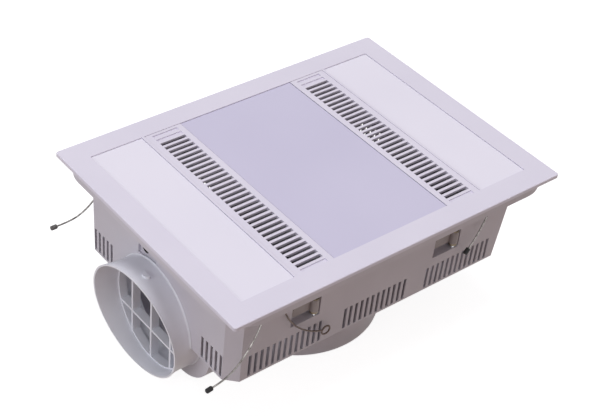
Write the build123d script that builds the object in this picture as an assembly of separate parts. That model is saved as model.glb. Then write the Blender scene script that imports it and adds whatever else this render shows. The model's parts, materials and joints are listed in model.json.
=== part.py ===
from build123d import *
from math import cos, radians, sin, tan
import os

# Bathroom ceiling heater with two light panels and an exhaust fan.
# The frame: Z = 0 is the plane where the flange meets the ceiling, Z points out of the
# fascia into the room, X runs along the long side away from the duct, Y to the rear side.
# All lengths are in millimetres and all angles in degrees.

os.makedirs("parts", exist_ok=True)

# Clearances that several pieces share
panel_gap = 0.3
seat_gap = 0.3
running_gap = 0.06
cut_margin = 1.0

# Fascia: frame with two light openings and one middle opening for grilles and glass
light_opening = 74.0
rib_width = 3.0
grille_width = 54.5
glass_opening = 175.0
panel_rest = 10.5
frame_margin = 31.0
face_height = 17.0
fascia_plate = 3.0
fascia_corner = 4.0
fascia_edge_round = 1.2
fascia_rim_wall = 2.5
opening_wall = 2.0
snap_radius = 2.4
snap_length = 8.5
snap_barb = 0.7
snap_x = 232.0
snap_y = 100.0

# Grille bars
grille_slot_length = 37.0
grille_slot_width = 5.2
grille_slot_pitch = 9.0
grille_slot_shift = 9.0
grille_first_y = -150.0
grille_places = 34
grille_blind_places = (0, 32, 33)
grille_blind_depth = 1.5
grille_recess = 0.5
grille_depth = 3.0

# Glass, diffusers and the trays below them
panel_recess = 1.0
tray_lip = 1.0
tray_wall = 1.0
light_tray_width = 73.0
light_tray_end_gap = 6.5
light_tray_depth = 18.0
board_length = 262.0
board_width = 58.0
board_thickness = 1.6
led_size = 3.0
led_height = 0.8
led_rows = 2
leds_per_row = 12
heater_tray_width = 168.0
heater_tray_depth = 57.0
reflector_length = 218.0
reflector_sheet = 0.8
reflector_edge_z = 6.0
lamp_radius = 5.0
lamp_length = 222.0
lamp_x = 41.0
lamp_z = -16.0
lamp_cap_radius = 3.6
lamp_cap_length = 6.0
holder_width = 16.0
holder_depth = 18.7
holder_height = 22.0
rail_x = 60.0
rail_width = 16.0
rail_height = 10.0
rail_sheet = 1.2

# Housing: ceiling flange, tapered box with cut corners, low plinth on its back
flange_inset = 3.0
flange_corner = 45.0
flange_plate = 3.0
flange_height = 12.0
flange_rim_wall = 2.5
opening_end_room = 12.5
opening_low_x = -221.5
opening_high_x = 219.5
opening_corner = 6.0
wall = 2.5
body_low_x = -226.0
body_high_x_top = 224.0
body_high_x_back = 208.0
flange_ledge = 10.5
side_draft = 3.0
body_depth = 115.0
corner_cut = 15.0
plinth_depth = 7.0
plinth_foot_x = (-196.0, 112.0)
plinth_top_x = (-129.0, 60.0)
plinth_step = 2.0
fixing_hole_radius = 2.6
fixing_x = 236.0
fixing_y = 128.0

# Cooling slots of the housing
side_slot_width = 4.4
side_slot_height = 33.0
side_slot_back = 3.0
side_slot_pitch = 8.6
side_slot_counts = (13, 12, 13)
side_slot_centres = (-146.5, -9.0, 127.0)
end_slot_pitch = 9.1
end_slot_count = 5
end_slot_centre_y = 115.0

# Blower: four-centre volute, duct base, shroud, wheel and motor
total_depth = 194.0
volute_x = -13.0
volute_y = 1.0
volute_radius = 119.0
volute_step = 5.0
volute_edge_round = 7.0
duct_z = -116.0
duct_base_x = -210.0
duct_base_width = 184.0
duct_base_height = 154.0
duct_base_corner = 62.0
shroud_wall = 2.0
shroud_top_z = -80.0
shroud_end_x = -118.0
inlet_radius = 62.0
inlet_nozzle_depth = 12.0
wheel_x = -10.0
wheel_y = 0.0
wheel_radius = 82.0
wheel_eye_radius = 66.0
wheel_top_z = -97.0
wheel_back_z = -182.0
wheel_sheet = 2.0
wheel_ring_height = 2.5
blade_count = 36
blade_thickness = 1.4
blade_lead = 9.0
blade_inset = 0.6
dome_foot_radius = 63.0
dome_shoulder_radius = 47.0
dome_top_radius = 17.0
dome_shoulder_z = -147.0
dome_top_z = -140.0
hub_radius = 9.0
hub_length = 16.0
shaft_radius = 4.0
shaft_length = 62.0
motor_radius = 40.0
motor_height = 38.0
motor_lug_radius = 50.0
motor_lug_size = 7.5
motor_lug_height = 3.5
motor_lug_count = 3
bush_radius = 6.0
bush_height = 4.5
bearing_radius = 9.0
bearing_height = 5.0
motor_fin_count = 18
motor_fin_depth = 2.0
motor_fin_width = 3.0

# Duct spigot with its finger guard and the two-leaf backdraft damper
spigot_mouth_x = -257.0
spigot_inner_reach = 5.0
spigot_radius = 75.0
spigot_wall = 2.2
spigot_mouth_radius = 78.2
spigot_mouth_turn = 4.9
spigot_mouth_dip = 5.8
spigot_bell_x = -232.0
spigot_bell_shares = (0.0, 0.35, 0.7, 1.0)
spigot_flare = 1.4
spigot_flare_length = 3.0
flare_bend_share = 0.3
flare_rise_share = 0.3
spigot_hole_gap = 0.2
snap_tab_x = -244.0
snap_tab_y = -9.0
snap_tab_radius = 6.0
snap_tab_rise = 3.0
guard_depth = 11.0
guard_base_gap = 11.0
guard_bar = 3.2
guard_pitch_y = 41.0
guard_pitch_z = 52.8
guard_ring = 2.0
damper_x = -143.0
damper_plate = 3.0
damper_hole_radius = 68.0
damper_post_width = 10.0
leaf_radius = 71.0
leaf_thickness = 1.5
leaf_seat = 1.0
hinge_offset = 5.5
hinge_pin_radius = 2.0
hinge_barrel_radius = 4.0
hinge_middle_gap = 2.0
hinge_barrel_length = 62.0
hinge_lug_height = 6.0
hinge_lug_width = 9.0

# Cable entry above the spigot, terminals and the electrical parts
pocket_low_y = 0.0
pocket_high_y = 37.0
pocket_low_z = -46.0
pocket_high_z = -2.0
pocket_depth = 3.0
cable_hole_y = 24.0
cable_hole_z = -32.0
cable_hole_radius = 5.0
grommet_wall = 1.5
grommet_lip = 1.5
terminal_box_length = 66.0
terminal_box_depth = 34.0
terminal_box_height = 24.0
terminal_box_wall = 1.6
terminal_lid = 1.6
terminal_count = 6
terminal_pitch = 9.0
terminal_size = 7.6
terminal_block_width = 16.0
terminal_block_height = 9.0
terminal_screw_radius = 2.0
driver_length = 96.0
driver_width = 38.0
driver_height = 22.0
driver_x = 160.0
driver_y = -62.0
driver_foot = 8.0
driver_foot_height = 2.0
capacitor_length = 38.0
capacitor_width = 22.0
capacitor_height = 30.0
capacitor_x = 158.0
capacitor_y = 62.0
capacitor_round = 2.0
cutout_radius = 8.0
cutout_height = 6.0
cutout_y = 60.0
cutout_z = -25.0
cutout_ear = 24.0
cutout_ear_sheet = 1.0

# Swing-out clamps, two on each long side
clamp_x = (-106.0, 116.0)
clamp_axis_inset = 5.0
clamp_pocket_reach = 36.0
clamp_pocket_side = 6.6
clamp_pocket_depth = 8.0
clamp_pocket_top_z = -24.0
clamp_pocket_low_z = -65.0
clamp_room_top_z = -8.0
clamp_room_front = 4.0
clamp_channel_top_z = -6.0
clamp_screw_radius = 2.4
clamp_head_radius = 4.2
clamp_head_height = 2.0
nut_radius = 4.2
nut_flange_radius = 5.2
nut_flange_height = 3.0
nut_low_z = -60.0
nut_lip_height = 1.5
nut_lip = 0.9
wing_hub_radius = 5.6
wing_hub_height = 18.0
wing_reach = 32.0
wing_thickness = 3.6
wing_inset = 3.4
wing_blade_height = 17.0
wing_foot = 3.0
wing_foot_length = 6.0

# Hold-up wires with rubber tips, and the hanging wire with its eye
wire_pivot_x = (-187.5, 164.0)
wire_pivot_z = -14.0
wire_radius = 1.1
wire_eye_radius = 3.9
wire_lead_room = 4.6
wire_tip_room = 12.5
pivot_screw_radius = 2.5
pivot_head_radius = 5.2
pivot_head_height = 1.8
pivot_boss_radius = 5.5
pivot_boss_height = 1.6
tip_radius = 3.0
tip_length = 9.0
tip_sink = 4.0
# Places along the wire, seen from the long side: distance from the pivot along X and Z,
# and the share of the way from the housing to the tip's distance
wire_route_x = (0.0, -4.6, -12.0, -22.0, -34.0, -47.0, -62.0, -78.0)
wire_route_z = (0.0, -14.0, -29.0, -43.0, -55.0, -63.5, -67.0, -68.0)
wire_route_shares = (0.0, 0.05, 0.15, 0.3, 0.45, 0.65, 0.85, 1.0)
# How many of these places the left and the right wires run through
left_wire_place_count = 8
right_wire_place_count = 5
# The share of the shorter run that a bend takes up on each side
wire_bend_share = 0.45
hanger_root_x = -162.0
hanger_route_x = (0.0, 5.0, 12.5, 23.0, 36.0, 50.0, 64.5)
hanger_route_z = (0.0, -16.0, -31.0, -45.5, -58.0, -67.5, -73.5)
hanger_eye_radius = 6.0
hanger_radius = 1.1

# Sizes that follow from the ones above
heater_tray_length = lamp_length + 2 * (panel_gap + holder_depth + tray_wall)
opening_width = heater_tray_length + 2 * opening_end_room
field_width = opening_width + 2 * panel_rest
light_tray_length = opening_width - 2 * light_tray_end_gap
body_width_top = opening_width + 2 * flange_ledge
body_width_back = body_width_top - 2 * side_draft
plinth_width = body_width_back - 2 * plinth_step
wire_lead_y = body_width_top / 2 + wire_lead_room
wire_tip_y = body_width_top / 2 + wire_tip_room
terminal_box_low_z = cable_hole_z - cable_hole_radius - terminal_box_wall
wire_place_counts = (left_wire_place_count, right_wire_place_count)
spigot_end_x = duct_base_x + spigot_inner_reach
guard_front_x = duct_base_x - guard_base_gap - guard_depth
field_length = 2 * (light_opening + rib_width + grille_width) + glass_opening
fascia_length = field_length + 2 * frame_margin
fascia_width = field_width + 2 * frame_margin
fascia_low_z = flange_height
half_field = field_length / 2
half_width = field_width / 2
middle_half = half_field - light_opening - rib_width
glass_half = glass_opening / 2
panel_top_z = face_height - panel_recess
lip_low_z = flange_height
lip_top_z = lip_low_z + tray_lip
panel_length = field_width - 2 * panel_gap
flange_length = fascia_length - 2 * flange_inset
flange_width = fascia_width - 2 * flange_inset
body_back_z = -body_depth
floor_z = body_back_z + wall
back_z = -total_depth
volute_floor_z = back_z + wall
motor_low_z = volute_floor_z + bush_height
motor_top_z = motor_low_z + motor_height


def block(x, y, z):
    """A box between two X, two Y and two Z values, each pair in any order."""
    pairs = [(min(pair), max(pair)) for pair in (x, y, z)]
    sizes = [high - low for low, high in pairs]
    middle = [(low + high) / 2 for low, high in pairs]
    return Pos(*middle) * Box(*sizes)


def rod(start, direction, radius, length):
    """A cylinder that starts at a point and runs along a direction."""
    foot = (Align.CENTER, Align.CENTER, Align.MIN)
    return Plane(origin=start, z_dir=direction) * Cylinder(radius, length, align=foot)


def rounded_plate(length, width, corner, low_z, high_z):
    """A plate with rounded corners, centred on the Z axis."""
    return extrude(Pos(0, 0, low_z) * RectangleRounded(length, width, corner), high_z - low_z)


def mirror_y(shape):
    """The same shape on the other long side."""
    return mirror(shape, about=Plane.XZ)


def save(node, shape):
    """Write one sub-part under its node's name."""
    solids = shape if isinstance(shape, list) else [shape]
    flat = [solid for piece in solids for solid in piece.solids()]
    whole = flat[0] if len(flat) == 1 else Compound(children=flat)
    whole.label = node
    export_step(whole, os.path.join("parts", node + ".step"))


def wall_half_width(z):
    """Half the housing's outer width at a height, from its two stated widths."""
    share = (flange_height - flange_plate - z) / (flange_height - flange_plate + body_depth)
    return (body_width_top + (body_width_back - body_width_top) * share) / 2


# Fascia frame

def fascia_frame():
    frame = rounded_plate(fascia_length, fascia_width, fascia_corner, fascia_low_z, face_height)
    hollow_length = fascia_length - 2 * fascia_rim_wall
    hollow_width = fascia_width - 2 * fascia_rim_wall
    hollow_corner = fascia_corner - fascia_rim_wall
    plate_low_z = face_height - fascia_plate
    hollow = rounded_plate(hollow_length, hollow_width, hollow_corner,
                           fascia_low_z - cut_margin, plate_low_z)
    collar_x = half_field + opening_wall
    collar_y = half_width + opening_wall
    collar = block((-collar_x, collar_x), (-collar_y, collar_y), (fascia_low_z, plate_low_z))
    frame = frame - (hollow - collar)
    through_z = (fascia_low_z - cut_margin, face_height + cut_margin)
    frame -= block((-middle_half, middle_half), (-half_width, half_width), through_z)
    for side in (-1, 1):
        light_x = (side * (half_field - light_opening), side * half_field)
        frame -= block(light_x, (-half_width, half_width), through_z)
    face = frame.faces().sort_by(Axis.Z)[-1]
    frame = fillet(face.outer_wire().edges(), fascia_edge_round)
    for x in (-snap_x, snap_x):
        for y in (-snap_y, snap_y):
            top = (x, y, plate_low_z)
            frame += rod(top, (0, 0, -1), snap_radius, snap_length)
            barb_z = plate_low_z - snap_length
            barb_top = flange_height - flange_plate - seat_gap
            barb = Cone(snap_radius / 2, snap_radius + snap_barb, barb_top - barb_z)
            frame += Pos(x, y, (barb_z + barb_top) / 2) * barb
    return frame


def grille(side):
    """One grille bar between the glass and a light panel; side is -1 or 1."""
    x_in = side * (glass_half + panel_gap)
    x_out = side * (middle_half - panel_gap)
    top_z = face_height - grille_recess
    bar = block((x_in, x_out), (-panel_length / 2, panel_length / 2), (flange_height, top_z))
    low_z = top_z - grille_depth
    slot_out = side * (middle_half - grille_slot_shift)
    slot_in = slot_out - side * grille_slot_length
    thin_length = opening_width - 2 * panel_gap
    bar -= block((slot_in, slot_out), (-thin_length / 2, thin_length / 2),
                 (flange_height - cut_margin, low_z))
    for place in range(grille_places):
        y = grille_first_y + place * grille_slot_pitch
        blind = place in grille_blind_places
        slot_low = top_z - grille_blind_depth if blind else flange_height - cut_margin
        slot_y = (y - grille_slot_width / 2, y + grille_slot_width / 2)
        bar -= block((slot_in, slot_out), slot_y, (slot_low, top_z + cut_margin))
    return bar


def panel(x_low, x_high):
    """A flat panel lying on its tray's lip, with its upper edges eased."""
    sheet = block((x_low, x_high), (-panel_length / 2, panel_length / 2), (lip_top_z, panel_top_z))
    return chamfer(sheet.faces().sort_by(Axis.Z)[-1].edges(), panel_gap)


# Light and heater trays

def tray(centre_x, width, length, depth, lip_x_half):
    """An open sheet box hung by a lip that rests on the flange."""
    low_z = flange_height - depth
    x = (centre_x - width / 2, centre_x + width / 2)
    y = (-length / 2, length / 2)
    box = block(x, y, (low_z, flange_height))
    box += block((centre_x - lip_x_half, centre_x + lip_x_half),
                 (-panel_length / 2, panel_length / 2), (lip_low_z, lip_top_z))
    inner_x = (x[0] + tray_wall, x[1] - tray_wall)
    inner_y = (y[0] + tray_wall, y[1] - tray_wall)
    return box - block(inner_x, inner_y, (low_z + tray_wall, lip_top_z + cut_margin))


light_tray_x = half_field - light_opening / 2
light_tray_floor_z = flange_height - light_tray_depth + tray_wall
heater_floor_z = flange_height - heater_tray_depth + tray_wall


def led_board(side):
    """The aluminium board with its rows of light-emitting chips."""
    x = side * light_tray_x
    top_z = light_tray_floor_z + board_thickness
    board = block((x - board_width / 2, x + board_width / 2),
                  (-board_length / 2, board_length / 2), (light_tray_floor_z, top_z))
    for row in range(led_rows):
        row_x = x + board_width * ((row + 0.5) / led_rows - 0.5)
        for place in range(leds_per_row):
            y = board_length * ((place + 0.5) / leds_per_row - 0.5)
            chip_x = (row_x - led_size / 2, row_x + led_size / 2)
            chip_y = (y - led_size / 2, y + led_size / 2)
            board += block(chip_x, chip_y, (top_z, top_z + led_height))
    return board


def reflector():
    """Two round troughs side by side in bright sheet, open to the glass."""
    trough = lamp_x - reflector_sheet / 2
    centre_z = heater_floor_z + seat_gap + reflector_sheet + trough
    start_y = -reflector_length / 2
    sheet = Part()
    rooms = []
    for side in (-1, 1):
        start = (side * lamp_x, start_y, centre_z)
        sheet += rod(start, (0, 1, 0), trough + reflector_sheet, reflector_length) & below(centre_z)
        rooms.append(rod(start, (0, 1, 0), trough, reflector_length))
    sheet -= rooms
    for side in (-1, 1):
        edge_x = (side * (lamp_x + trough), side * (lamp_x + trough + reflector_sheet))
        sheet += block(edge_x, (start_y, -start_y), (centre_z, reflector_edge_z))
    return sheet


def heat_lamp(side):
    """A quartz tube with a pinched ceramic cap at each end."""
    x = side * lamp_x
    lamp = rod((x, -lamp_length / 2, lamp_z), (0, 1, 0), lamp_radius, lamp_length)
    lamp = fillet(lamp.edges().filter_by(GeomType.CIRCLE), lamp_radius / 3)
    full = lamp_length + 2 * lamp_cap_length
    lamp += rod((x, -full / 2, lamp_z), (0, 1, 0), lamp_cap_radius, full)
    return lamp


def lamp_holders():
    """Four ceramic blocks on the end walls of the heater tray."""
    holders = []
    near = lamp_length / 2 + panel_gap
    far = near + holder_depth
    for side in (-1, 1):
        for end in (-1, 1):
            x = (side * lamp_x - holder_width / 2, side * lamp_x + holder_width / 2)
            z = (lamp_z - holder_height / 2, lamp_z + holder_height / 2)
            holder = block(x, (end * near, end * far), z)
            holder = chamfer(holder.edges().filter_by(Axis.Y), lamp_cap_radius / 2)
            start = (side * lamp_x, end * (near - cut_margin), lamp_z)
            depth = lamp_cap_length + cut_margin + panel_gap
            holder -= rod(start, (0, end, 0), lamp_cap_radius + running_gap, depth)
            holders.append(holder)
    return holders


def cross_rail(side):
    """A folded channel across the housing that carries the heater tray."""
    top_z = flange_height - heater_tray_depth
    reach = wall_half_width(top_z) - wall - seat_gap
    x = (side * rail_x - rail_width / 2, side * rail_x + rail_width / 2)
    rail = block(x, (-reach, reach), (top_z - rail_height, top_z))
    inner_x = (x[0] + rail_sheet, x[1] - rail_sheet)
    inner_z = (top_z - rail_height - cut_margin, top_z - rail_sheet)
    return rail - block(inner_x, (-reach - cut_margin, reach + cut_margin), inner_z)


# Housing

def cut_corner_face(low_x, high_x, half, cut, z):
    """A rectangle with its four corners cut off, at a height."""
    points = [(low_x + cut, -half), (high_x - cut, -half), (high_x, -half + cut),
              (high_x, half - cut), (high_x - cut, half), (low_x + cut, half),
              (low_x, half - cut), (low_x, -half + cut)]
    return Pos(0, 0, z) * make_face(Polyline(*points, close=True))


def body_shape(inset, back):
    """The tapered box, drawn in by a wall and closed at a height."""
    top_z = flange_height - flange_plate
    top = cut_corner_face(body_low_x + inset, body_high_x_top - inset,
                          body_width_top / 2 - inset, corner_cut - inset / 2, top_z)
    low = cut_corner_face(body_low_x + inset, body_high_x_back - inset,
                          body_width_back / 2 - inset, corner_cut - inset / 2, back)
    return loft([top, low], ruled=True)


def volute_face(inset):
    """A volute of four quarter arcs whose radius grows by one step each quarter."""
    arcs = []
    centre = Vector(volute_x, volute_y)
    radius = volute_radius
    for quarter in range(4):
        start = -180 + 90 * quarter
        size = radius - inset
        points = []
        for turn in (0, 45, 90):
            angle = radians(start + turn)
            points.append((centre.X + size * cos(angle), centre.Y + size * sin(angle)))
        arcs.append(ThreePointArc(*points))
        towards = radians(start + 90)
        centre += Vector(cos(towards), sin(towards)) * volute_step
        radius -= volute_step
    arcs.append(Line(arcs[-1] @ 1, arcs[0] @ 0))
    return make_face(arcs)


def volute_prism(inset, low_z, high_z):
    return extrude(Pos(0, 0, low_z) * volute_face(inset), high_z - low_z)


def duct_prism(inset, low_x, high_x):
    """The duct between volute and spigot: a rounded rectangle drawn along X."""
    section = RectangleRounded(duct_base_width - 2 * inset, duct_base_height - 2 * inset,
                               duct_base_corner - inset)
    start = Plane(origin=(low_x, 0, duct_z), x_dir=(0, 1, 0), z_dir=(1, 0, 0))
    return extrude(start * section, high_x - low_x)


def above(z):
    """Everything above a height, for trimming."""
    return block((-fascia_length, fascia_length), (-fascia_width, fascia_width), (z, fascia_length))


def below(z):
    """Everything below a height, for trimming."""
    return block((-fascia_length, fascia_length), (-fascia_width, fascia_width), (-fascia_length, z))


def slot_row_y(face_y, centre_x, pitch, count):
    """Cutters for one group of cooling slots in a long side."""
    low_z = body_back_z + side_slot_back
    cutters = []
    for place in range(count):
        x = centre_x + (place - (count - 1) / 2) * pitch
        slot_x = (x - side_slot_width / 2, x + side_slot_width / 2)
        slot_y = (face_y - 2 * wall, face_y + 2 * wall)
        cutters.append(block(slot_x, slot_y, (low_z, low_z + side_slot_height)))
    return cutters


def slot_row_x(face_x, centre_y, pitch, count):
    """Cutters for one group of cooling slots in an end."""
    low_z = body_back_z + side_slot_back
    cutters = []
    for place in range(count):
        y = centre_y + (place - (count - 1) / 2) * pitch
        slot_y = (y - side_slot_width / 2, y + side_slot_width / 2)
        slot_x = (face_x - 3 * wall, face_x + 2 * wall)
        cutters.append(block(slot_x, slot_y, (low_z, low_z + side_slot_height)))
    return cutters


clamp_y = body_width_top / 2 - clamp_axis_inset
pocket_face_y = clamp_y - clamp_pocket_depth


def clamp_pocket(x, grow, top_z):
    """The recess of a folded clamp wing, open to the side, with the screw's channel above."""
    back_y = -pocket_face_y + grow
    front_y = -body_width_top / 2 - cut_margin
    low_x = x - clamp_pocket_reach - grow
    high_x = x + clamp_pocket_side + grow
    low_z = clamp_pocket_low_z - grow
    window = block((low_x, high_x), (front_y, back_y), (low_z, clamp_pocket_top_z + grow))
    behind = block((low_x, high_x), (-clamp_y - clamp_room_front + grow, back_y),
                   (low_z, clamp_room_top_z + grow))
    channel = block((x - clamp_pocket_side - grow, high_x), (front_y, back_y), (low_z, top_z))
    return window + behind + channel


def flange_opening(low_z):
    """The opening of the flange, down to a height."""
    face = cut_corner_face(opening_low_x, opening_high_x, opening_width / 2, opening_corner, low_z)
    return extrude(face, face_height - low_z)


def clamp_part(x):
    """The stretch of a long side that carries one clamp, from the pocket's floor to Z = 0."""
    return block((x - clamp_pocket_reach - wall, x + clamp_pocket_side + wall),
                 (-body_width_top, -pocket_face_y + wall),
                 (clamp_pocket_low_z - wall, 0))


def clamp_pocket_case(x):
    """The moulded case of one clamp with the wall in front of it, up to the flange."""
    case = clamp_pocket(x, wall, flange_height) & body_shape(wall, floor_z)
    case += clamp_part(x) & (body_shape(0, body_back_z) - body_shape(wall, floor_z))
    case -= flange_opening(clamp_room_top_z + wall)
    case -= clamp_pocket(x, 0, clamp_channel_top_z)
    return case - clamp_bore(x)


def clamp_bore(x):
    """The clearance hole of a clamp screw, from the pocket's floor through the flange."""
    start = (x, -clamp_y, clamp_pocket_low_z - wall)
    return rod(start, (0, 0, 1), clamp_screw_radius + running_gap, total_depth)


def housing():
    """The flange, the box under it, and the case of the blower with the duct base."""
    box = body_shape(0, body_back_z)
    foot_x = plinth_foot_x
    top_x = plinth_top_x
    half = plinth_width / 2
    foot = Pos((foot_x[0] + foot_x[1]) / 2, 0, floor_z) * Rectangle(foot_x[1] - foot_x[0], 2 * half)
    top = Pos((top_x[0] + top_x[1]) / 2, 0, body_back_z - plinth_depth)
    top *= Rectangle(top_x[1] - top_x[0], 2 * (half - plinth_depth / 2))
    plinth = loft([foot, top], ruled=True)
    drum = volute_prism(0, back_z, floor_z)
    drum = fillet(drum.faces().sort_by(Axis.Z)[0].edges().filter_by(GeomType.CIRCLE),
                  volute_edge_round)
    duct_base = duct_prism(0, duct_base_x, volute_x) & below(floor_z)
    shell = box + plinth + drum + duct_base
    shell -= body_shape(wall, floor_z)
    shell -= volute_prism(wall, volute_floor_z, floor_z + cut_margin)
    shell -= duct_prism(wall, duct_base_x + wall, volute_x) & below(floor_z + cut_margin)
    flange = rounded_plate(flange_length, flange_width, flange_corner, 0, flange_height)
    rim = 2 * flange_rim_wall
    under = rounded_plate(flange_length - rim, flange_width - rim, flange_corner - flange_rim_wall,
                          -cut_margin, flange_height - flange_plate)
    flange -= under - body_shape(0, body_back_z)
    flange -= body_shape(wall, floor_z)
    flange -= flange_opening(-cut_margin)
    shell += flange
    pad_y = (pocket_low_y - wall, pocket_high_y + wall)
    shell += block((body_low_x, body_low_x + wall + pocket_depth), pad_y,
                   (pocket_low_z - wall / 2, flange_height - flange_plate))
    shell -= block((body_low_x - cut_margin, body_low_x + pocket_depth),
                   (pocket_low_y, pocket_high_y), (pocket_low_z, pocket_high_z))
    cable_start = (body_low_x - cut_margin, cable_hole_y, cable_hole_z)
    shell -= rod(cable_start, (1, 0, 0), cable_hole_radius + grommet_wall,
                 wall + pocket_depth + 2 * cut_margin)
    for x in clamp_x:
        room = clamp_pocket(x, 0, clamp_channel_top_z)
        head_start = (x, -clamp_y, flange_height - clamp_head_height - running_gap)
        sink = rod(head_start, (0, 0, 1), clamp_head_radius + running_gap, face_height)
        for turn in (lambda shape: shape, mirror_y):
            shell -= [turn(room), turn(clamp_bore(x)), turn(sink)]
    cutters = []
    for count, centre in zip(side_slot_counts, side_slot_centres):
        cutters += slot_row_y(-body_width_back / 2, centre, side_slot_pitch, count)
        cutters += slot_row_y(body_width_back / 2, centre, side_slot_pitch, count)
    for centre in (-end_slot_centre_y, end_slot_centre_y):
        cutters += slot_row_x(body_low_x, centre, end_slot_pitch, end_slot_count)
        cutters += slot_row_x(body_high_x_back, centre, end_slot_pitch, end_slot_count)
    shell -= cutters
    spigot_hole = rod((spigot_mouth_x, 0, duct_z), (1, 0, 0), spigot_radius + spigot_hole_gap,
                      duct_base_x + 2 * wall - spigot_mouth_x)
    shell -= spigot_hole
    for x in (-fixing_x, fixing_x):
        for y in (-fixing_y, fixing_y):
            shell -= rod((x, y, 0), (0, 0, 1), fixing_hole_radius, face_height)
    for x in (-snap_x, snap_x):
        for y in (-snap_y, snap_y):
            shell -= rod((x, y, 0), (0, 0, 1), snap_radius + seat_gap, face_height)
    for x, side in pivot_places:
        boss_start = (x, side * (wall_half_width(wire_pivot_z) - wall), wire_pivot_z)
        reach = pivot_boss_y - wall_half_width(wire_pivot_z) + wall
        shell += rod(boss_start, (0, side, 0), pivot_boss_radius, reach)
        hole = (x, side * (pivot_boss_y - pivot_thread_length), wire_pivot_z)
        shell -= rod(hole, (0, side, 0), pivot_screw_radius, pivot_thread_length + cut_margin)
    for x in clamp_x:
        shell -= [clamp_part(x), mirror_y(clamp_part(x))]
    box = shell & above(body_back_z) & below(0)
    return shell & above(0), box, shell & below(body_back_z)


# Pivots of the wires on the two long sides
pivot_boss_y = wire_lead_y - wire_radius - seat_gap
pivot_thread_length = wire_lead_y - wire_radius - body_width_top / 2 + pivot_boss_height
pivot_places = [(x, side) for x in wire_pivot_x for side in (-1, 1)] + [(hanger_root_x, -1)]


# Blower

def shroud():
    """Upper half of the volute and duct, with the inlet nozzle in its top."""
    slip = wall - shroud_wall
    ring = volute_prism(slip, floor_z, shroud_top_z)
    room = volute_prism(wall, floor_z - cut_margin, shroud_top_z - shroud_wall)
    duct = duct_prism(0, duct_base_x, shroud_end_x) & above(floor_z)
    duct_room = duct_prism(wall, duct_base_x + wall, shroud_end_x - wall) & above(floor_z - cut_margin)
    throat = duct_prism(wall, shroud_end_x - 2 * wall, volute_x)
    throat &= above(floor_z - cut_margin) & below(shroud_top_z - shroud_wall)
    shell = ring + duct - room - duct_room - throat
    nozzle_start = (wheel_x, wheel_y, shroud_top_z - inlet_nozzle_depth)
    lip = inlet_radius + shroud_wall
    flare_top = (wheel_x, wheel_y, shroud_top_z)
    shell -= rod((wheel_x, wheel_y, floor_z), (0, 0, 1), lip, -floor_z)
    nozzle = rod(nozzle_start, (0, 0, 1), lip, inlet_nozzle_depth)
    nozzle -= rod(nozzle_start, (0, 0, 1), inlet_radius, inlet_nozzle_depth)
    rolled = rod(flare_top, (0, 0, 1), lip + inlet_nozzle_depth / 2, shroud_wall)
    mouth = rod(flare_top, (0, 0, 1), inlet_radius, shroud_wall)
    shell += nozzle
    shell += rolled - mouth
    return shell - rod((duct_base_x - cut_margin, 0, duct_z), (1, 0, 0),
                       spigot_radius + spigot_hole_gap, 3 * wall)


spigot_inner = spigot_radius - spigot_wall


def spigot_bell(inset):
    """The widening of the pipe towards its slanting mouth, set in by a wall or not at all."""
    rings = []
    for share in spigot_bell_shares:
        turn = tan(radians(share * spigot_mouth_turn))
        dip = tan(radians(share * spigot_mouth_dip))
        normal = Vector(-1, -turn, -dip).normalized()
        along = (Vector(0, 1, 0) - normal * normal.Y).normalized()
        x = spigot_bell_x + (spigot_mouth_x - spigot_bell_x) * share
        radius = spigot_radius + (spigot_mouth_radius - spigot_radius) * share ** 2
        rings.append(Plane(origin=(x, 0, 0), x_dir=along, z_dir=normal) * Circle(radius - inset))
    return loft(rings)


def spigot_collar(wall_x):
    """Half the small flared collar against a wall, turned over the Y side to the top."""
    root = spigot_radius - spigot_wall / 2
    end = wall_x - seat_gap
    start = end - spigot_flare_length
    bend = (end - spigot_flare_length * flare_bend_share,
            spigot_radius + spigot_flare * flare_rise_share)
    rim = (end, spigot_radius + spigot_flare)
    outline = [
        ThreePointArc((start, spigot_radius), bend, rim),
        Polyline(rim, (end, root), (start, root), (start, spigot_radius)),
    ]
    return revolve(make_face(outline), Axis.X, 180)


def spigot():
    """Round duct connection with a widened, slanting mouth and a collar on the wall."""
    pipe = rod((spigot_bell_x, 0, 0), (1, 0, 0), spigot_radius, spigot_end_x - spigot_bell_x)
    pipe += spigot_bell(0)
    foot = (snap_tab_x, snap_tab_y, spigot_inner)
    tab = rod(foot, (0, 0, 1), snap_tab_radius, spigot_wall + snap_tab_rise)
    tab &= block((snap_tab_x - snap_tab_radius, snap_tab_x), (-spigot_radius, spigot_radius),
                 (0, 2 * spigot_radius))
    pipe += tab
    pipe += spigot_collar(body_low_x)
    pipe += Rot(180, 0, 0) * spigot_collar(duct_base_x)
    pipe -= rod((spigot_bell_x, 0, 0), (1, 0, 0), spigot_inner, spigot_end_x - spigot_bell_x)
    pipe -= spigot_bell(spigot_wall)
    return Pos(0, 0, duct_z) * pipe


def duct_guard():
    """A lattice of deep thin bars in a ring, pressed into the spigot."""
    ring_radius = spigot_inner - seat_gap / 2
    front = (guard_front_x, 0, duct_z)
    disc = rod(front, (1, 0, 0), ring_radius - guard_ring / 2, guard_depth)
    span = 2 * spigot_radius
    x = (guard_front_x, guard_front_x + guard_depth)
    bars = Part()
    for step in (-1, 0, 1):
        y = step * guard_pitch_y
        bars += block(x, (y - guard_bar / 2, y + guard_bar / 2), (duct_z - span, duct_z + span))
    for step in (-1, 1):
        z = duct_z + step * guard_pitch_z / 2
        bars += block(x, (-span, span), (z - guard_bar / 2, z + guard_bar / 2))
    ring = rod(front, (1, 0, 0), ring_radius, guard_depth)
    ring -= rod(front, (1, 0, 0), ring_radius - guard_ring, guard_depth)
    return (bars & disc) + ring


hinge_x = damper_x - hinge_offset


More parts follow.
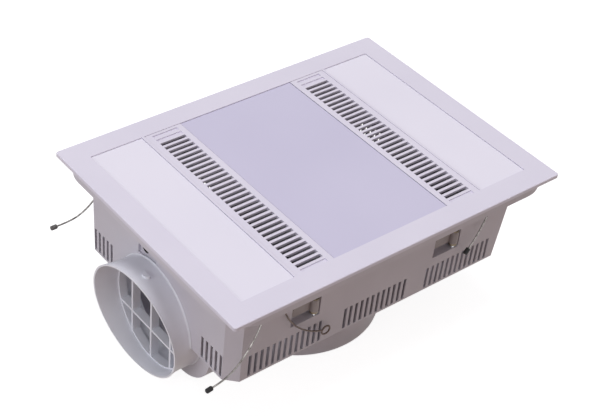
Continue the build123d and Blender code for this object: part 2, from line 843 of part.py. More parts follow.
def damper_frame():
    """The seat ring of the damper with its centre post and the pin's lugs."""
    plate = duct_prism(wall + seat_gap, damper_x, damper_x + damper_plate)
    hole = rod((damper_x - cut_margin, 0, duct_z), (1, 0, 0), damper_hole_radius,
               damper_plate + 2 * cut_margin)
    post = block((damper_x, damper_x + damper_plate),
                 (-damper_post_width / 2, damper_post_width / 2),
                 (duct_z - damper_hole_radius, duct_z + damper_hole_radius))
    frame = plate - hole + post
    reach = hinge_barrel_length + hinge_middle_gap + seat_gap
    for end in (-1, 1):
        lug_z = (duct_z + end * reach, duct_z + end * (reach + hinge_lug_height))
        lug_x = (hinge_x - hinge_barrel_radius, damper_x)
        lug = block(lug_x, (-hinge_lug_width / 2, hinge_lug_width / 2), lug_z)
        frame += lug
    start = (hinge_x, 0, duct_z - reach - hinge_lug_height - cut_margin)
    bore_length = 2 * (reach + hinge_lug_height + cut_margin)
    return frame - rod(start, (0, 0, 1), hinge_pin_radius, bore_length)


def damper_pin():
    reach = hinge_barrel_length + hinge_middle_gap + seat_gap + hinge_lug_height
    return rod((hinge_x, 0, duct_z - reach), (0, 0, 1), hinge_pin_radius, 2 * reach)


def damper_leaf(side):
    """A half-round flap with its hinge barrel; the front leaf's barrel is the upper one."""
    face_x = damper_x - leaf_seat
    x = (face_x - leaf_thickness, face_x)
    disc = rod((x[0], 0, duct_z), (1, 0, 0), leaf_radius, leaf_thickness)
    inner_y = hinge_barrel_radius + leaf_seat
    reach_z = (duct_z - spigot_radius, duct_z + spigot_radius)
    leaf = disc & block(x, (side * inner_y, side * spigot_radius), reach_z)
    near = duct_z - side * hinge_middle_gap
    far = duct_z - side * (hinge_middle_gap + hinge_barrel_length)
    notch = hinge_lug_width / 2 + leaf_seat
    lug_z = duct_z + hinge_middle_gap + hinge_barrel_length
    for end in (-1, 1):
        clear_z = (duct_z + end * (lug_z - duct_z - leaf_seat), duct_z + end * spigot_radius)
        leaf -= block(x, (-notch, notch), clear_z)
    leaf += block(x, (0, side * (inner_y + leaf_thickness)), (near, far))
    leaf += rod((hinge_x, 0, min(near, far)), (0, 0, 1), hinge_barrel_radius, hinge_barrel_length)
    return leaf - rod((hinge_x, 0, min(near, far) - cut_margin), (0, 0, 1),
                      hinge_pin_radius + running_gap, hinge_barrel_length + 2 * cut_margin)


def blade():
    """One forward-curved blade between the wheel's eye and its rim."""
    start = wheel_eye_radius + blade_inset
    end = wheel_radius - blade_inset
    turn = radians(blade_lead)
    eye = Vector(start, 0)
    rim = Vector(end * cos(turn), end * sin(turn))
    chord = rim - eye
    side = Vector(chord.Y, -chord.X).normalized()
    bow = chord.length / 4
    middle = (eye + rim) / 2 + side * bow
    outer = ThreePointArc(eye, middle, rim)
    inner = ThreePointArc(eye, middle - side * blade_thickness, rim)
    lens = make_face([outer, inner])
    low_z = wheel_back_z + wheel_sheet / 2
    return extrude(Pos(0, 0, low_z) * lens, wheel_top_z - wheel_ring_height / 2 - low_z)


def wheel():
    """Centrifugal wheel: dished back plate over the motor, blades and front ring."""
    outline = [(wheel_radius, wheel_back_z), (dome_foot_radius, wheel_back_z),
               (dome_shoulder_radius, dome_shoulder_z), (dome_top_radius, dome_top_z),
               (0, dome_top_z)]
    upper = [(radius, z + wheel_sheet) for radius, z in reversed(outline)]
    section = Plane.XZ * make_face(Polyline(*outline, *upper, close=True))
    plate = revolve(section, Axis.Z)
    foot = (0, 0, dome_top_z)
    hub = rod(foot, (0, 0, 1), hub_radius, hub_length)
    ring_foot = (0, 0, wheel_top_z - wheel_ring_height)
    ring = rod(ring_foot, (0, 0, 1), wheel_radius, wheel_ring_height)
    ring -= rod(ring_foot, (0, 0, 1), wheel_eye_radius, wheel_ring_height)
    one = blade()
    blades = [Rot(0, 0, 360 * place / blade_count) * one for place in range(blade_count)]
    body = (plate + hub + ring).fuse(*blades)
    body -= rod((0, 0, dome_top_z - cut_margin), (0, 0, 1), shaft_radius, hub_length + 2 * cut_margin)
    return Pos(wheel_x, wheel_y, 0) * body


def motor():
    """The motor can with cooling fins, three lugs and the seat of its bearing."""
    low = (0, 0, motor_low_z)
    can = rod(low, (0, 0, 1), motor_radius, motor_height)
    can = fillet(can.faces().sort_by(Axis.Z)[-1].edges(), motor_fin_depth)
    for place in range(motor_fin_count):
        cut = block((motor_radius - motor_fin_depth, motor_radius + cut_margin),
                    (-motor_fin_width / 2, motor_fin_width / 2),
                    (motor_low_z + motor_lug_height + motor_fin_depth,
                     motor_top_z - 2 * motor_fin_depth))
        can -= Rot(0, 0, 360 * place / motor_fin_count) * cut
    for place in range(motor_lug_count):
        lug = rod((motor_lug_radius, 0, motor_low_z), (0, 0, 1), motor_lug_size, motor_lug_height)
        lug += block((motor_radius - motor_fin_depth, motor_lug_radius),
                     (-motor_lug_size, motor_lug_size), (motor_low_z, motor_low_z + motor_lug_height))
        can += Rot(0, 0, 360 * place / motor_lug_count) * lug
    seat_z = motor_top_z - bearing_height / 2
    can -= rod((0, 0, seat_z), (0, 0, 1), bearing_radius, bearing_height)
    bore_z = dome_top_z + hub_length - shaft_length - cut_margin
    can -= rod((0, 0, bore_z), (0, 0, 1), shaft_radius + running_gap, shaft_length)
    return Pos(wheel_x, wheel_y, 0) * can


def bearing():
    """A bronze bush in the top of the motor can."""
    foot = (wheel_x, wheel_y, motor_top_z - bearing_height / 2)
    bush = rod(foot, (0, 0, 1), bearing_radius, bearing_height)
    return bush - rod(foot, (0, 0, 1), shaft_radius + running_gap, bearing_height)


def motor_bushes():
    """Three rubber feet between the motor's lugs and the volute's floor."""
    feet = []
    for place in range(motor_lug_count):
        angle = radians(360 * place / motor_lug_count)
        x = wheel_x + motor_lug_radius * cos(angle)
        y = wheel_y + motor_lug_radius * sin(angle)
        foot = rod((x, y, volute_floor_z), (0, 0, 1), bush_radius, bush_height)
        feet.append(chamfer(foot.faces().sort_by(Axis.Z)[0].edges(), bush_radius / 6))
    return feet


def shaft():
    top_z = dome_top_z + hub_length
    rod_shape = rod((wheel_x, wheel_y, top_z - shaft_length), (0, 0, 1), shaft_radius, shaft_length)
    return chamfer(rod_shape.faces().sort_by(Axis.Z)[-1].edges(), shaft_radius / 5)


# Electrical parts

terminal_x = body_low_x + wall + pocket_depth


def grommet():
    """A rubber ring in the cable hole, with a lip on both faces of the wall."""
    outer = cable_hole_radius + grommet_wall
    start_x = body_low_x + pocket_depth - grommet_lip
    start = (start_x, cable_hole_y, cable_hole_z)
    ring = rod(start, (1, 0, 0), outer, wall + grommet_lip)
    ring += rod(start, (1, 0, 0), outer + grommet_lip / 3, grommet_lip)
    return ring - rod(start, (1, 0, 0), cable_hole_radius, wall + 2 * grommet_lip)


def terminal_box():
    """The box behind the cable entry, open on top, with the cable's hole in its wall."""
    x = (terminal_x, terminal_x + terminal_box_depth)
    y = (cable_hole_y - terminal_box_length / 2, cable_hole_y + terminal_box_length / 2)
    z = (terminal_box_low_z, terminal_box_low_z + terminal_box_height)
    inset = terminal_box_wall
    box = block(x, y, z)
    box -= block((x[0] + inset, x[1] - inset), (y[0] + inset, y[1] - inset),
                 (z[0] + inset, z[1] + cut_margin))
    hole_z = z[0] + cable_hole_radius + inset
    start = (x[0] - cut_margin, cable_hole_y, hole_z)
    return box - rod(start, (1, 0, 0), cable_hole_radius, inset + 2 * cut_margin)


def terminal_cover():
    x = (terminal_x, terminal_x + terminal_box_depth)
    y = (cable_hole_y - terminal_box_length / 2, cable_hole_y + terminal_box_length / 2)
    low_z = terminal_box_low_z + terminal_box_height
    return block(x, y, (low_z, low_z + terminal_lid))


def terminal_block():
    """A row of screw terminals on the floor of the terminal box."""
    x = terminal_x + terminal_box_depth / 2
    low_z = terminal_box_low_z + terminal_box_wall
    length = terminal_pitch * terminal_count
    strip = block((x - terminal_block_width / 2, x + terminal_block_width / 2),
                  (cable_hole_y - length / 2, cable_hole_y + length / 2),
                  (low_z, low_z + terminal_block_height / 2))
    for place in range(terminal_count):
        y = cable_hole_y + (place - (terminal_count - 1) / 2) * terminal_pitch
        cell = block((x - terminal_block_width / 2, x + terminal_block_width / 2),
                     (y - terminal_size / 2, y + terminal_size / 2),
                     (low_z, low_z + terminal_block_height))
        strip += cell
        top = (x, y, low_z + terminal_block_height / 2)
        strip -= rod(top, (0, 0, 1), terminal_screw_radius, terminal_block_height)
    return strip


def light_driver():
    """The supply of the light boards, a closed box with a foot at each end."""
    x = (driver_x - driver_width / 2, driver_x + driver_width / 2)
    y = (driver_y - driver_length / 2, driver_y + driver_length / 2)
    box = block(x, y, (floor_z, floor_z + driver_height))
    box = fillet(box.edges().filter_by(Axis.Z), driver_foot_height)
    foot_y = (y[0] - driver_foot, y[1] + driver_foot)
    return box + block(x, foot_y, (floor_z, floor_z + driver_foot_height))


def capacitor():
    x = (capacitor_x - capacitor_width / 2, capacitor_x + capacitor_width / 2)
    y = (capacitor_y - capacitor_length / 2, capacitor_y + capacitor_length / 2)
    box = block(x, y, (floor_z, floor_z + capacitor_height))
    return fillet(box.edges().filter_by(Axis.Z), capacitor_round)


def thermal_cutout():
    """A disc thermostat on its sheet ear, on the side of the heater tray."""
    face_x = heater_tray_width / 2
    ear = block((face_x, face_x + cutout_ear_sheet),
                (cutout_y - cutout_ear / 2, cutout_y + cutout_ear / 2),
                (cutout_z - cutout_radius, cutout_z + cutout_radius))
    return ear + rod((face_x, cutout_y, cutout_z), (1, 0, 0), cutout_radius, cutout_height)


# Clamps

def clamp_screw(x):
    """The screw of one clamp, sunk in the flange and held in the pocket's floor."""
    head_z = flange_height - clamp_head_height
    tail_z = clamp_pocket_low_z - wall
    screw = rod((x, -clamp_y, tail_z), (0, 0, 1), clamp_screw_radius, head_z - tail_z)
    screw += rod((x, -clamp_y, head_z), (0, 0, 1), clamp_head_radius, clamp_head_height)
    slot = block((x - clamp_head_radius, x + clamp_head_radius),
                 (-clamp_y - clamp_head_height / 4, -clamp_y + clamp_head_height / 4),
                 (flange_height - clamp_head_height / 2, flange_height + cut_margin))
    return screw - slot


nut_top_z = nut_low_z + nut_flange_height + wing_hub_height + seat_gap


def clamp_nut(x):
    """The threaded bush that climbs the screw and carries the wing."""
    nut = rod((x, -clamp_y, nut_low_z), (0, 0, 1), nut_radius, nut_top_z - nut_low_z)
    nut += rod((x, -clamp_y, nut_low_z), (0, 0, 1), nut_flange_radius, nut_flange_height)
    nut += rod((x, -clamp_y, nut_top_z), (0, 0, 1), nut_radius + nut_lip, nut_lip_height)
    height = nut_top_z + nut_lip_height - nut_low_z
    return nut - rod((x, -clamp_y, nut_low_z), (0, 0, 1), clamp_screw_radius + running_gap, height)


def clamp_wing(x):
    """The wing that swings out over the ceiling board; folded it points along the wall."""
    low_z = nut_low_z + nut_flange_height
    high_z = low_z + wing_hub_height
    hub = rod((x, -clamp_y, low_z), (0, 0, 1), wing_hub_radius, wing_hub_height)
    blade_y = -clamp_y + wing_inset
    face_y = (blade_y - wing_thickness / 2, blade_y + wing_thickness / 2)
    arm = block((x - wing_reach, x), face_y, (high_z - wing_blade_height, high_z))
    low_corner = arm.edges().filter_by(Axis.Y).group_by(Axis.X)[0].sort_by(Axis.Z)[0]
    arm = fillet(low_corner, wing_blade_height / 3)
    foot_y = (face_y[0] - wing_foot, face_y[1])
    foot = block((x - wing_reach, x - wing_reach + wing_foot_length), foot_y,
                 (high_z - wing_foot, high_z))
    rib = block((x - wing_reach, x), (face_y[0] - wing_foot / 2, face_y[0]),
                (high_z - wing_foot / 2, high_z))
    wing = hub + arm + foot + rib
    return wing - rod((x, -clamp_y, low_z - cut_margin), (0, 0, 1), nut_radius + running_gap,
                      wing_hub_height + 2 * cut_margin)


# Wires

def swept_wire(points, radius):
    """A round wire through points, straight between tangent arcs as large as they allow."""
    runs = [(b - a).length for a, b in zip(points, points[1:])]
    arcs = []
    for place in range(1, len(points) - 1):
        turn = (points[place] - points[place - 1]).get_angle(points[place + 1] - points[place])
        shorter = min(runs[place - 1], runs[place])
        arcs.append(wire_bend_share * shorter / tan(radians(turn / 2)))
    path = FilletPolyline(*points, radius=arcs)
    start = Plane(origin=points[0], z_dir=points[1] - points[0])
    return sweep(start * Circle(radius), path=path), min(arcs)


def wire_points(end, side):
    """The route of one hold-up wire, from its eye to its tip; end 0 is the left one."""
    x = wire_pivot_x[end]
    places = wire_place_counts[end]
    route = list(zip(wire_route_x, wire_route_z, wire_route_shares))
    points = []
    for dx, dz, share in route[:places]:
        y = wire_lead_y + (wire_tip_y - wire_lead_y) * share
        points.append(Vector(x + dx, side * y, wire_pivot_z + dz))
    lead = (points[1] - points[0]).normalized()
    points[0] = points[0] + lead * wire_eye_radius
    return points


def eye(x, side, z, ring_radius, radius, y):
    """A closed eye of wire round an axis along Y."""
    ring = Torus(ring_radius, radius)
    return Pos(x, side * y, z) * Rot(90, 0, 0) * ring


def hold_up_wire(end, side):
    tube, bend = swept_wire(wire_points(end, side), wire_radius)
    tube += eye(wire_pivot_x[end], side, wire_pivot_z, wire_eye_radius, wire_radius, wire_lead_y)
    return tube, bend


def wire_tip(end, side):
    """The rubber tip pushed over the wire's end."""
    points = wire_points(end, side)
    along = (points[-1] - points[-2]).normalized()
    start = points[-1] - along * tip_sink
    tip = rod(start, along, tip_radius, tip_length)
    tip = fillet(tip.edges().filter_by(GeomType.CIRCLE), tip_radius / 2)
    return tip - rod(start, along, wire_radius, tip_sink)


def hanging_wire():
    """The bowed wire with an eye at each end, held under its own screw."""
    points = [Vector(hanger_root_x + dx, -wire_lead_y, wire_pivot_z + dz)
              for dx, dz in zip(hanger_route_x, hanger_route_z)]
    lead = (points[1] - points[0]).normalized()
    points[0] = points[0] + lead * wire_eye_radius
    tube, bend = swept_wire(points, hanger_radius)
    tube += eye(hanger_root_x, -1, wire_pivot_z, wire_eye_radius, hanger_radius, wire_lead_y)
    along = (points[-1] - points[-2]).normalized()
    end = points[-1] + along * hanger_eye_radius
    tube += eye(end.X, -1, end.Z, hanger_eye_radius, hanger_radius, wire_lead_y)
    return tube, bend


def pivot_screws():
    """Shoulder screws that the wires' eyes turn on."""
    screws = []
    for x, side in pivot_places:
        start_y = pivot_boss_y - pivot_thread_length
        end_y = wire_lead_y + wire_radius + seat_gap
        screw = rod((x, side * start_y, wire_pivot_z), (0, side, 0), pivot_screw_radius,
                    end_y - start_y)
        head = rod((x, side * end_y, wire_pivot_z), (0, side, 0), pivot_head_radius,
                   pivot_head_height)
        far = head.faces().filter_by(Axis.Y).sort_by(Axis.Y)[-1 if side > 0 else 0]
        screws.append(screw + fillet(far.edges(), pivot_head_height / 2))
    return screws


def build():
    """Make every sub-part and write it under its node's name."""
    save("fascia_frame", fascia_frame())
    save("heater_glass", panel(-glass_half + panel_gap, glass_half - panel_gap))
    for name, side in (("left", -1), ("right", 1)):
        inner = side * (half_field - light_opening) + side * panel_gap
        outer = side * half_field - side * panel_gap
        save("grille_" + name, grille(side))
        save("light_diffuser_" + name, panel(min(inner, outer), max(inner, outer)))
        save("light_tray_" + name, tray(side * light_tray_x, light_tray_width, light_tray_length,
                                        light_tray_depth, light_opening / 2 - panel_gap))
        save("light_board_" + name, led_board(side))
    heater_box = tray(0, heater_tray_width, heater_tray_length, heater_tray_depth,
                      glass_half - panel_gap)
    save("heater_tray", [heater_box & above(lip_low_z), heater_box & below(lip_low_z)])
    save("heater_reflector", reflector())
    save("heat_lamp_left", heat_lamp(-1))
    save("heat_lamp_right", heat_lamp(1))
    save("lamp_holders", lamp_holders())
    save("cross_rails", [cross_rail(-1), cross_rail(1)])
    flange, box, case = housing()
    save("housing", [flange, box])
    save("blower_case", case)
    pockets = []
    for x in clamp_x:
        holder = clamp_pocket_case(x)
        pockets += [holder & above(clamp_room_top_z), holder & below(clamp_room_top_z)]
    save("clamp_pockets", pockets + [mirror_y(pocket) for pocket in pockets])
    cover = shroud()
    cover_split_z = shroud_top_z - shroud_wall
    save("fan_shroud", [cover & above(cover_split_z), cover & below(cover_split_z)])
    save("fan_wheel", wheel())
    save("motor_shaft", shaft())
    save("fan_motor", motor())
    save("motor_bearing", bearing())
    save("motor_bushes", motor_bushes())
    save("duct_spigot", spigot())
    save("duct_guard", duct_guard())
    save("damper_frame", damper_frame())
    save("damper_pin", damper_pin())
    save("damper_leaf_front", damper_leaf(-1))
    save("damper_leaf_rear", damper_leaf(1))
    save("cable_grommet", grommet())
    save("terminal_box", terminal_box())
    save("terminal_cover", terminal_cover())
    save("terminal_block", terminal_block())
    save("light_driver", light_driver())
    save("motor_capacitor", capacitor())
    save("thermal_cutout", thermal_cutout())
    for side_name, side in (("front", -1), ("rear", 1)):
        turn = mirror_y if side > 0 else (lambda shape: shape)
        for end_name, x in zip(("left", "right"), clamp_x):
            name = f"{side_name}_{end_name}"
            save("clamp_screw_" + name, turn(clamp_screw(x)))
            save("clamp_nut_" + name, turn(clamp_nut(x)))
            save("clamp_wing_" + name, turn(clamp_wing(x)))
        for end, end_name in enumerate(("left", "right")):
            name = f"{side_name}_{end_name}"
            wire, bend = hold_up_wire(end, side)
            save("hold_up_wire_" + name, wire)
            save("wire_tip_" + name, wire_tip(end, side))
    hanger, hanger_bend = hanging_wire()
    save("hanging_wire", hanger)
    save("pivot_screws", pivot_screws())
    print("tightest bend of a hold-up wire", round(bend, 1), "and of the hanging wire",
          round(hanger_bend, 1))


build()
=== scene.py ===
import json

import bmesh
import bpy
from mathutils import Matrix, Vector

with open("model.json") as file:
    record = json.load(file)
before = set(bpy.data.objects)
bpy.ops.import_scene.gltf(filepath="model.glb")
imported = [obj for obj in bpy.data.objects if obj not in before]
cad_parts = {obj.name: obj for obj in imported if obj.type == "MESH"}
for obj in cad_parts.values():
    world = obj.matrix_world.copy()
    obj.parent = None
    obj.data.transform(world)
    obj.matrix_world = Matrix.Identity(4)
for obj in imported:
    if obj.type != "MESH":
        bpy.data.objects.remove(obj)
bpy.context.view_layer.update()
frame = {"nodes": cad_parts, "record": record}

# Camera, solved from the corners of the fascia. Lens and sensor are in millimetres
camera_place = Vector((-0.9361, -1.0378, 1.0726))
camera_right = Vector((0.7837, -0.6164, 0.0769))
camera_up = Vector((0.3429, 0.5326, 0.7738))
camera_back = Vector((-0.5179, -0.5801, 0.6288))
camera_lens = 85.52
camera_sensor = 36.0

# Floor, in metres. It touches the blower drum, the lowest piece
floor_z = -0.194
floor_reach = 12.0

# Colours and strengths of the floor. The unseen ones only throw light back at the object
floor_unseen = (0.38, 0.29, 0.25, 1)
floor_seen = (0.38, 0.38, 0.38, 1)
floor_glow = 0.88
white = (1, 1, 1, 1)

# The room is warm and dim in front of the object, cool and light to its left, behind and above.
# The tint runs from warm to cool as the direction's product with cool_side grows
cool_side = (-0.35, 0.6, 0.72)
fully_warm_at = -0.8
fully_cool_at = 0.5
warm_tint = (1.0, 0.70, 0.52, 1)
cool_tint = (0.93, 0.94, 1.0, 1)
room_strength = 0.36

# Colour ramps blend between these shares of the noise
ramp_start = 0.3
ramp_end = 0.7


def linear(value):
    """A screen colour channel from 0 to 255 as a linear one, by the sRGB curve."""
    share = value / 255
    return share / 12.92 if share <= 0.04045 else ((share + 0.055) / 1.055) ** 2.4


def colour(red, green, blue):
    """A screen colour as a linear one."""
    return (linear(red), linear(green), linear(blue), 1.0)


# Materials. Scales of noise are per metre, distances of bumps in metres

class Recipe:
    """A material under construction, with short calls for its nodes."""

    def __init__(self, name):
        self.material = bpy.data.materials.new(name)
        self.material.use_nodes = True
        self.tree = self.material.node_tree
        self.shader = self.tree.nodes["Principled BSDF"]
        self.coordinates = self.tree.nodes.new("ShaderNodeTexCoord").outputs["Object"]

    def join(self, source, target):
        self.tree.links.new(source, target)

    def noise(self, scale, detail=2.0, roughness=0.5, stretch=(1, 1, 1)):
        """A share from 0 to 1 that varies through the piece."""
        mapping = self.tree.nodes.new("ShaderNodeMapping")
        mapping.inputs["Scale"].default_value = stretch
        self.join(self.coordinates, mapping.inputs["Vector"])
        made = self.tree.nodes.new("ShaderNodeTexNoise")
        made.inputs["Scale"].default_value = scale
        made.inputs["Detail"].default_value = detail
        made.inputs["Roughness"].default_value = roughness
        self.join(mapping.outputs["Vector"], made.inputs["Vector"])
        return made.outputs["Fac"]

    def ramp(self, source, low, high):
        """A colour between low and high."""
        made = self.tree.nodes.new("ShaderNodeValToRGB")
        first, last = made.color_ramp.elements
        first.position = ramp_start
        first.color = low
        last.position = ramp_end
        last.color = high
        self.join(source, made.inputs["Fac"])
        return made.outputs["Color"]

    def spread(self, source, low, high):
        """A number between low and high."""
        made = self.tree.nodes.new("ShaderNodeMapRange")
        made.inputs["To Min"].default_value = low
        made.inputs["To Max"].default_value = high
        self.join(source, made.inputs["Value"])
        return made.outputs["Result"]

    def bump(self, source, strength, distance, previous=None):
        """A normal, laid over the previous one where there is one."""
        made = self.tree.nodes.new("ShaderNodeBump")
        made.inputs["Strength"].default_value = strength
        made.inputs["Distance"].default_value = distance
        self.join(source, made.inputs["Height"])
        if previous is not None:
            self.join(previous, made.inputs["Normal"])
        return made.outputs["Normal"]

    def set(self, **values):
        """Numbers and colours go on the shader's own sockets, outputs of nodes are joined."""
        for key, value in values.items():
            socket = self.shader.inputs[key.replace("_", " ")]
            if hasattr(value, "links"):
                self.join(value, socket)
            else:
                socket.default_value = value


def plastic(name, tone, shade, rough, grain_strength=0.25, coat=0.0):
    """Moulded plastic: slow changes of tone, a fine mould grain and uneven gloss."""
    recipe = Recipe(name)
    slow = recipe.noise(scale=9.0, detail=3.0)
    patches = recipe.noise(scale=60.0, detail=4.0, roughness=0.6)
    grain = recipe.noise(scale=1800.0)
    waves = recipe.noise(scale=26.0, detail=1.0)
    fine = recipe.bump(grain, grain_strength, distance=0.00004)
    recipe.set(Base_Color=recipe.ramp(slow, shade, tone),
               Roughness=recipe.spread(patches, rough - 0.06, rough + 0.06),
               Normal=recipe.bump(waves, strength=0.1, distance=0.0006, previous=fine),
               Coat_Weight=coat, Coat_Roughness=0.2)
    return recipe.material


def metal(name, tone, shade, rough, stretch=(1, 1, 1), scale=500.0, strength=0.2):
    """Bare or plated metal with drawn or rolled marks; on the wires the marks are painted
    highlights and shade of twisted strands.
    """
    recipe = Recipe(name)
    streaks_and_strand_shading = recipe.noise(scale, detail=4.0, roughness=0.65, stretch=stretch)
    patches = recipe.noise(scale=90.0, detail=3.0)
    recipe.set(Base_Color=recipe.ramp(streaks_and_strand_shading, shade, tone),
               Metallic=1.0,
               Roughness=recipe.spread(patches, rough - 0.08, rough + 0.1),
               Normal=recipe.bump(streaks_and_strand_shading, strength, distance=0.00003))
    return recipe.material


def rubber(name, tone, shade):
    """Dull rubber with a coarse grain."""
    recipe = Recipe(name)
    patches = recipe.noise(scale=300.0, detail=3.0)
    grain = recipe.noise(scale=2500.0)
    recipe.set(Base_Color=recipe.ramp(patches, shade, tone),
               Roughness=0.7,
               Normal=recipe.bump(grain, strength=0.3, distance=0.00005))
    return recipe.material


def frosted(name, tone, shade, rough):
    """A matt panel: very fine sparkle and a soft cloudiness."""
    recipe = Recipe(name)
    clouds = recipe.noise(scale=5.0)
    patches = recipe.noise(scale=140.0, detail=3.0)
    sparkle = recipe.noise(scale=3500.0, detail=1.0)
    recipe.set(Base_Color=recipe.ramp(clouds, shade, tone),
               Roughness=recipe.spread(patches, rough - 0.05, rough + 0.05),
               Normal=recipe.bump(sparkle, strength=0.15, distance=0.00003))
    return recipe.material


def quartz(name):
    """Amber quartz tube, partly clear."""
    recipe = Recipe(name)
    bands = recipe.noise(scale=30.0)
    patches = recipe.noise(scale=200.0)
    recipe.set(Base_Color=recipe.ramp(bands, colour(190, 150, 100), colour(225, 190, 140)),
               Roughness=recipe.spread(patches, 0.04, 0.12),
               Transmission_Weight=0.6, IOR=1.46)
    return recipe.material


materials = {
    "fascia_plastic": plastic("fascia_white", colour(226, 222, 235), colour(221, 217, 231),
                              rough=0.38, grain_strength=0.12, coat=0.15),
    "housing_plastic": plastic("housing_white", colour(214, 211, 220), colour(205, 202, 211),
                               rough=0.5),
    "diffuser_plastic": frosted("opal_panel", colour(236, 233, 244), colour(232, 229, 241),
                                rough=0.42),
    "heater_glass": frosted("frosted_glass", colour(208, 204, 226), colour(203, 199, 222),
                            rough=0.3),
    # Warm grey: painted shade, darkening the pale clamp wings to the tone of the shaded front
    # wall
    "clamp_plastic": plastic("clamp_painted_shade", colour(172, 164, 164), colour(158, 150, 150),
                             rough=0.5),
    "shroud_plastic": plastic("shroud_dark", colour(52, 50, 54), colour(40, 38, 42), rough=0.6),
    "tray_steel": plastic("tray_coat", colour(225, 225, 228), colour(214, 214, 218), rough=0.45),
    "board_aluminium": plastic("board_mask", colour(235, 235, 235), colour(222, 222, 222),
                               rough=0.4),
    "reflector_aluminium": metal("reflector", (0.86, 0.87, 0.89, 1), (0.72, 0.73, 0.75, 1),
                                 rough=0.2, stretch=(1, 0.02, 1)),
    "lamp_quartz": quartz("lamp_quartz"),
    "holder_ceramic": plastic("ceramic", colour(238, 235, 226), colour(226, 222, 212),
                              rough=0.65),
    "rail_steel": metal("rail_zinc", (0.72, 0.73, 0.75, 1), (0.5, 0.51, 0.53, 1), rough=0.4),
    "fan_plastic": plastic("fan_grey", colour(176, 176, 181), colour(166, 166, 171), rough=0.5),
    "motor_steel": plastic("motor_lacquer", colour(116, 118, 122), colour(98, 100, 104),
                           rough=0.4),
    "shaft_steel": metal("ground_steel", (0.75, 0.76, 0.78, 1), (0.6, 0.61, 0.63, 1),
                         rough=0.25),
    "bronze": metal("bronze", (0.72, 0.52, 0.28, 1), (0.55, 0.38, 0.2, 1), rough=0.45),
    "rubber_black": rubber("rubber", colour(34, 33, 34), colour(22, 21, 22)),
    # The strong light and dark mottle along this wire is painted highlight and shade of twisted
    # strands
    "wire_steel": metal("spring_wire", (0.5, 0.48, 0.46, 1), (0.09, 0.075, 0.07, 1), rough=0.45,
                        scale=230.0, strength=0.5),
    "zinc_steel": metal("zinc", (0.78, 0.78, 0.8, 1), (0.58, 0.58, 0.6, 1), rough=0.35),
    "nut_brass": metal("dull_brass", (0.26, 0.21, 0.15, 1), (0.17, 0.13, 0.09, 1), rough=0.55),
    "terminal_plastic": plastic("terminal_cream", colour(222, 216, 196), colour(208, 202, 182),
                                rough=0.5),
    "driver_plastic": plastic("driver_white", colour(226, 226, 226), colour(212, 212, 212),
                              rough=0.45),
    "capacitor_plastic": plastic("capacitor_grey", colour(92, 95, 99), colour(76, 79, 83),
                                 rough=0.5),
}

# Pieces that differ from the others of their slot. The duct's mouldings are a lighter copy of
# the housing plastic, painted light for the inside of the tube, the hanging wire is a darker,
# browner copy of the spring wire, painted shade, and one rubber tip is a lighter grey
# A lighter copy of the housing plastic: painted light, brightening the inside of the duct, its
# guard and damper frame
duct_painted_light = plastic("duct_white_painted_light", colour(244, 246, 253), colour(238, 240, 248), rough=0.45)
# A darker, browner copy of the spring wire: painted shade for the wire lying in the shade of the
# front wall
brown_wire_painted_shade = metal("brown_wire_painted_shade", (0.16, 0.115, 0.1, 1), (0.07, 0.05, 0.045, 1), rough=0.5,
                   scale=230.0, strength=0.4)
own_finish = {
    "duct_spigot": duct_painted_light,
    "duct_guard": duct_painted_light,
    "damper_frame": duct_painted_light,
    "hanging_wire": brown_wire_painted_shade,
    # The rear left tip is a lighter grey than the other tips
    "wire_tip_rear_left": rubber("grey_rubber", colour(120, 118, 116), colour(88, 86, 85)),
}

slot_of = {part["node"]: part["material_slot"] for part in frame["record"]["subparts"]}
for node, piece in frame["nodes"].items():
    finish = own_finish.get(node, materials[slot_of[node]])
    piece.data.materials.clear()
    piece.data.materials.append(finish)


# Floor, light and camera

def seen_share(tree):
    """1 for rays of the camera, of reflections and of views through glass, 0 for other light."""
    path = tree.nodes.new("ShaderNodeLightPath")
    share = path.outputs["Is Camera Ray"]
    for ray in ("Is Glossy Ray", "Is Transmission Ray"):
        larger = tree.nodes.new("ShaderNodeMath")
        larger.operation = "MAXIMUM"
        tree.links.new(share, larger.inputs[0])
        tree.links.new(path.outputs[ray], larger.inputs[1])
        share = larger.outputs[0]
    return share


def show(tree, unseen, seen, output):
    """The seen shader where the eye looks, the unseen one for the light on the object."""
    mix = tree.nodes.new("ShaderNodeMixShader")
    tree.links.new(seen_share(tree), mix.inputs["Fac"])
    tree.links.new(unseen.outputs[0], mix.inputs[1])
    tree.links.new(seen.outputs[0], mix.inputs[2])
    tree.links.new(mix.outputs[0], output.inputs["Surface"])


def floor_paint():
    """White to the eye with the object's shadow on it, a dim warm brown to other light."""
    material = bpy.data.materials.new("floor_paint")
    material.use_nodes = True
    tree = material.node_tree
    tree.nodes.clear()
    unseen = tree.nodes.new("ShaderNodeBsdfDiffuse")
    unseen.inputs["Color"].default_value = floor_unseen
    shaded = tree.nodes.new("ShaderNodeBsdfDiffuse")
    shaded.inputs["Color"].default_value = floor_seen
    glow = tree.nodes.new("ShaderNodeEmission")
    glow.inputs["Color"].default_value = white
    glow.inputs["Strength"].default_value = floor_glow
    seen = tree.nodes.new("ShaderNodeAddShader")
    tree.links.new(shaded.outputs[0], seen.inputs[0])
    tree.links.new(glow.outputs[0], seen.inputs[1])
    show(tree, unseen, seen, tree.nodes.new("ShaderNodeOutputMaterial"))
    return material


def stage_floor():
    mesh = bpy.data.meshes.new("floor")
    shape = bmesh.new()
    bmesh.ops.create_grid(shape, x_segments=1, y_segments=1, size=floor_reach)
    bmesh.ops.translate(shape, verts=shape.verts, vec=(0, 0, floor_z))
    shape.to_mesh(mesh)
    shape.free()
    floor = bpy.data.objects.new("floor", mesh)
    bpy.context.scene.collection.objects.link(floor)
    mesh.materials.append(floor_paint())


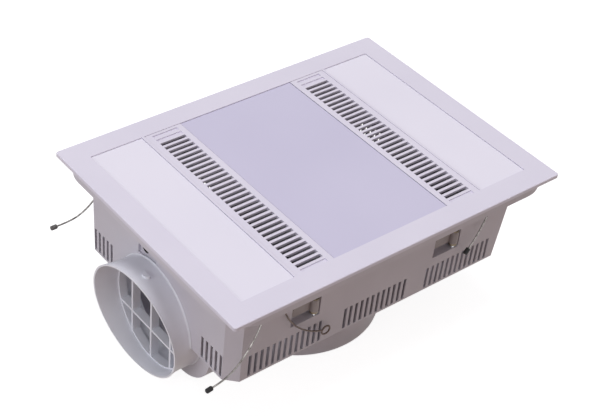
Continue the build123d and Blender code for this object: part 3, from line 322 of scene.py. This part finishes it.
def world_light():
    """White to the eye, a soft room from warm to cool for the light on the object."""
    world = bpy.data.worlds.new("studio")
    bpy.context.scene.world = world
    world.use_nodes = True
    tree = world.node_tree
    tree.nodes.clear()
    direction = tree.nodes.new("ShaderNodeTexCoord")
    toward = tree.nodes.new("ShaderNodeVectorMath")
    toward.operation = "DOT_PRODUCT"
    toward.inputs[1].default_value = cool_side
    share = tree.nodes.new("ShaderNodeMapRange")
    share.inputs["From Min"].default_value = fully_warm_at
    share.inputs["From Max"].default_value = fully_cool_at
    tint = tree.nodes.new("ShaderNodeValToRGB")
    tint.color_ramp.elements[0].color = warm_tint
    tint.color_ramp.elements[1].color = cool_tint
    room = tree.nodes.new("ShaderNodeBackground")
    room.inputs["Strength"].default_value = room_strength
    tree.links.new(direction.outputs["Generated"], toward.inputs[0])
    tree.links.new(toward.outputs["Value"], share.inputs["Value"])
    tree.links.new(share.outputs["Result"], tint.inputs["Fac"])
    tree.links.new(tint.outputs["Color"], room.inputs["Color"])
    backdrop = tree.nodes.new("ShaderNodeBackground")
    backdrop.inputs["Color"].default_value = white
    show(tree, room, backdrop, tree.nodes.new("ShaderNodeOutputWorld"))


def area_light(name, place, target, diameter, power, tint):
    """A round lamp. Places and the diameter are in metres, the power in watts."""
    data = bpy.data.lights.new(name, "AREA")
    data.shape = "DISK"
    data.size = diameter
    data.energy = power
    data.color = tint
    lamp = bpy.data.objects.new(name, data)
    bpy.context.scene.collection.objects.link(lamp)
    lamp.location = place
    lamp.rotation_euler = (Vector(target) - Vector(place)).to_track_quat("-Z", "Y").to_euler()


def camera():
    data = bpy.data.cameras.new("camera")
    data.sensor_fit = "HORIZONTAL"
    data.sensor_width = camera_sensor
    data.lens = camera_lens
    view = bpy.data.objects.new("camera", data)
    bpy.context.scene.collection.objects.link(view)
    axes = Matrix((camera_right, camera_up, camera_back)).transposed()
    view.matrix_world = Matrix.Translation(camera_place) @ axes.to_4x4()
    bpy.context.scene.camera = view


stage_floor()
world_light()
area_light("key", place=(0.25, 0.1, 3.2), target=(0, 0, 0), diameter=1.6, power=54.0,
           tint=(0.99, 0.97, 1.0))
area_light("left_fill", place=(-2.2, -0.2, 0.75), target=(0, 0, -0.05), diameter=1.2, power=13.0,
           tint=(0.96, 0.96, 1.0))
camera()

bpy.context.scene.view_settings.view_transform = "Standard"
